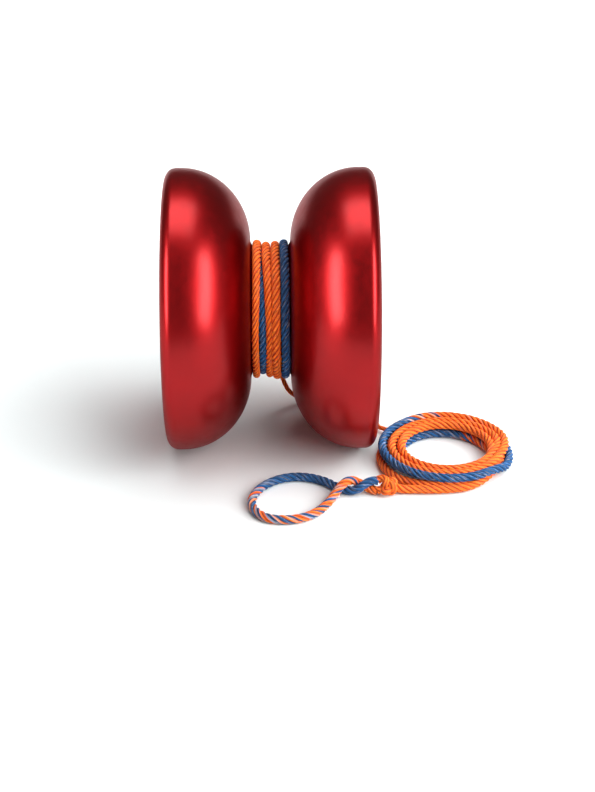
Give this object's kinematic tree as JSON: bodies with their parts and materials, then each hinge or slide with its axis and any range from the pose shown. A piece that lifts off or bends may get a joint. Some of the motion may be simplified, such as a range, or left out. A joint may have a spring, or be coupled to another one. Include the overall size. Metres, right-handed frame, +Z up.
{
  "type": "ball-bearing yo-yo",
  "caption": "Wide-gap metal yo-yo with flared cups on a ball bearing, its string wound on and ending in a floor coil, slip knot and finger loop.",
  "frame": {"origin": "on the surface that the yo-yo stands on, under the middle of its axle", "axes": "+X along the axle to the right, +Y away from the viewer and the finger loop, +Z up"},
  "size_m": [0.0693, 0.0641, 0.056],
  "materials": {
    "anodised_red": "satin red anodising on turned aluminium",
    "axle_steel": "black oxide",
    "pad_silicone": "matte silicone",
    "bearing_steel": "ground and polished",
    "shield_steel": "pressed sheet",
    "cage_steel": "pressed sheet",
    "string": "twisted polyester, space-dyed orange and blue"
  },
  "bodies": {
    "string_side": {"bearing_outer_race": "bearing_steel", "left_shield": "shield_steel", "right_shield": "shield_steel", "left_snap_ring": "bearing_steel", "right_snap_ring": "bearing_steel", "string_axle_loop": "string", "string_winding": "string", "string_tail": "string", "string_coil": "string", "string_coil_end": "string", "slip_knot": "string", "finger_loop": "string"},
    "spool": {"left_half": "anodised_red", "right_half": "anodised_red", "left_response_pad": "pad_silicone", "right_response_pad": "pad_silicone", "axle": "axle_steel", "bearing_inner_race": "bearing_steel"},
    "cage": {"ball_cage": "cage_steel"},
    "rolling_ball_1": {"ball_1": "bearing_steel"},
    "rolling_ball_2": {"ball_2": "bearing_steel"},
    "rolling_ball_3": {"ball_3": "bearing_steel"},
    "rolling_ball_4": {"ball_4": "bearing_steel"},
    "rolling_ball_5": {"ball_5": "bearing_steel"},
    "rolling_ball_6": {"ball_6": "bearing_steel"},
    "rolling_ball_7": {"ball_7": "bearing_steel"},
    "rolling_ball_8": {"ball_8": "bearing_steel"}
  },
  "joints": [
    {"name": "spool_spin", "type": "hinge", "parent": "string_side", "child": "spool", "pos_m": [0, 0, 0.028], "axis": [1, 0, 0], "continuous": true},
    {"name": "cage_spin", "type": "hinge", "parent": "string_side", "child": "cage", "pos_m": [0, 0, 0.028], "axis": [1, 0, 0], "continuous": true},
    {"name": "ball_1_roll", "type": "hinge", "parent": "cage", "child": "rolling_ball_1", "pos_m": [0, -0.00182, 0.0324], "axis": [1, 0, 0], "continuous": true},
    {"name": "ball_2_roll", "type": "hinge", "parent": "cage", "child": "rolling_ball_2", "pos_m": [0, -0.0044, 0.02982], "axis": [1, 0, 0], "continuous": true},
    {"name": "ball_3_roll", "type": "hinge", "parent": "cage", "child": "rolling_ball_3", "pos_m": [0, -0.0044, 0.02618], "axis": [1, 0, 0], "continuous": true},
    {"name": "ball_4_roll", "type": "hinge", "parent": "cage", "child": "rolling_ball_4", "pos_m": [0, -0.00182, 0.0236], "axis": [1, 0, 0], "continuous": true},
    {"name": "ball_5_roll", "type": "hinge", "parent": "cage", "child": "rolling_ball_5", "pos_m": [0, 0.00182, 0.0236], "axis": [1, 0, 0], "continuous": true},
    {"name": "ball_6_roll", "type": "hinge", "parent": "cage", "child": "rolling_ball_6", "pos_m": [0, 0.0044, 0.02618], "axis": [1, 0, 0], "continuous": true},
    {"name": "ball_7_roll", "type": "hinge", "parent": "cage", "child": "rolling_ball_7", "pos_m": [0, 0.0044, 0.02982], "axis": [1, 0, 0], "continuous": true},
    {"name": "ball_8_roll", "type": "hinge", "parent": "cage", "child": "rolling_ball_8", "pos_m": [0, 0.00182, 0.0324], "axis": [1, 0, 0], "continuous": true}
  ],
  "couplings": [
    {"joint": "cage_spin", "follows": "spool_spin", "ratio": 0.39585},
    {"joint": "ball_1_roll", "follows": "spool_spin", "ratio": -2.2963},
    {"joint": "ball_2_roll", "follows": "spool_spin", "ratio": -2.2963},
    {"joint": "ball_3_roll", "follows": "spool_spin", "ratio": -2.2963},
    {"joint": "ball_4_roll", "follows": "spool_spin", "ratio": -2.2963},
    {"joint": "ball_5_roll", "follows": "spool_spin", "ratio": -2.2963},
    {"joint": "ball_6_roll", "follows": "spool_spin", "ratio": -2.2963},
    {"joint": "ball_7_roll", "follows": "spool_spin", "ratio": -2.2963},
    {"joint": "ball_8_roll", "follows": "spool_spin", "ratio": -2.2963}
  ]
}
